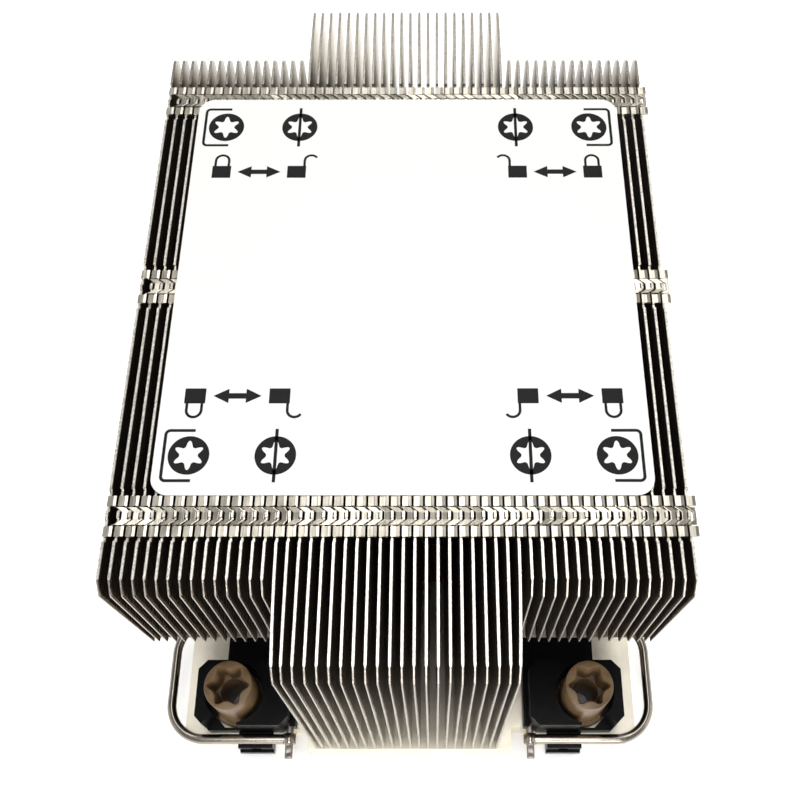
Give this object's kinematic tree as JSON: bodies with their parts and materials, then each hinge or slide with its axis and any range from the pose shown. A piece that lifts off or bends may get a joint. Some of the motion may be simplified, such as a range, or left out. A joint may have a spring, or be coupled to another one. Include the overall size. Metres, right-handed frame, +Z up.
{
  "type": "passive server cpu heatsink",
  "caption": "Passive processor heatsink with a zipped fin stack on a flat base, captive corner nuts in plastic housings and swinging wire bails.",
  "frame": {"origin": "centre of the base's underside, where the processor's lid presses", "axes": "+X across the fins, +Y along the air channels from the front end to the back, +Z up from the base to the fin tips"},
  "size_m": [0.0844, 0.116, 0.0641],
  "materials": {
    "fin_aluminium": "stamped bright sheet, lightly oxidised",
    "plated_aluminium": "machined and nickel plated",
    "copper": "bare copper, milled flat",
    "black_plastic": "moulded, half gloss",
    "tan_polymer": "moulded engineering polymer, natural tan",
    "steel": "drawn and cut",
    "spring_wire": "drawn stainless spring wire",
    "label_film": "matt film label"
  },
  "bodies": {
    "heatsink": {"base_plate": "plated_aluminium", "contact_block": "copper", "left_fins": "fin_aluminium", "centre_fins": "fin_aluminium", "right_fins": "fin_aluminium", "top_label": "label_film", "heat_pipe_1": "copper", "heat_pipe_2": "copper", "heat_pipe_3": "copper", "heat_pipe_4": "copper", "housing_front_left": "black_plastic", "hinge_pin_front_left": "steel", "housing_front_right": "black_plastic", "hinge_pin_front_right": "steel", "housing_back_left": "black_plastic", "hinge_pin_back_left": "steel", "housing_back_right": "black_plastic", "hinge_pin_back_right": "steel"},
    "nut_body_front_left": {"nut_front_left": "tan_polymer"},
    "nut_body_front_right": {"nut_front_right": "tan_polymer"},
    "nut_body_back_left": {"nut_back_left": "tan_polymer"},
    "nut_body_back_right": {"nut_back_right": "tan_polymer"},
    "bail_body_front_left": {"wire_bail_front_left": "spring_wire"},
    "bail_body_front_right": {"wire_bail_front_right": "spring_wire"},
    "bail_body_back_left": {"wire_bail_back_left": "spring_wire"},
    "bail_body_back_right": {"wire_bail_back_right": "spring_wire"}
  },
  "joints": [
    {"name": "nut_spin_front_left", "type": "hinge", "parent": "heatsink", "child": "nut_body_front_left", "pos_m": [-0.02965, -0.04815, 0.01], "axis": [0, 0, 1], "continuous": true},
    {"name": "nut_spin_front_right", "type": "hinge", "parent": "heatsink", "child": "nut_body_front_right", "pos_m": [0.02965, -0.04815, 0.01], "axis": [0, 0, 1], "continuous": true},
    {"name": "nut_spin_back_left", "type": "hinge", "parent": "heatsink", "child": "nut_body_back_left", "pos_m": [-0.02965, 0.04815, 0.01], "axis": [0, 0, 1], "continuous": true},
    {"name": "nut_spin_back_right", "type": "hinge", "parent": "heatsink", "child": "nut_body_back_right", "pos_m": [0.02965, 0.04815, 0.01], "axis": [0, 0, 1], "continuous": true},
    {"name": "bail_swing_front_left", "type": "hinge", "parent": "heatsink", "child": "bail_body_front_left", "pos_m": [-0.0206, -0.045, 0.0056], "axis": [0, 1, 0], "range_deg": [0, 90]},
    {"name": "bail_swing_front_right", "type": "hinge", "parent": "heatsink", "child": "bail_body_front_right", "pos_m": [0.0206, -0.045, 0.0056], "axis": [0, -1, 0], "range_deg": [0, 90]},
    {"name": "bail_swing_back_left", "type": "hinge", "parent": "heatsink", "child": "bail_body_back_left", "pos_m": [-0.0206, 0.045, 0.0056], "axis": [0, 1, 0], "range_deg": [0, 90]},
    {"name": "bail_swing_back_right", "type": "hinge", "parent": "heatsink", "child": "bail_body_back_right", "pos_m": [0.0206, 0.045, 0.0056], "axis": [0, -1, 0], "range_deg": [0, 90]}
  ]
}
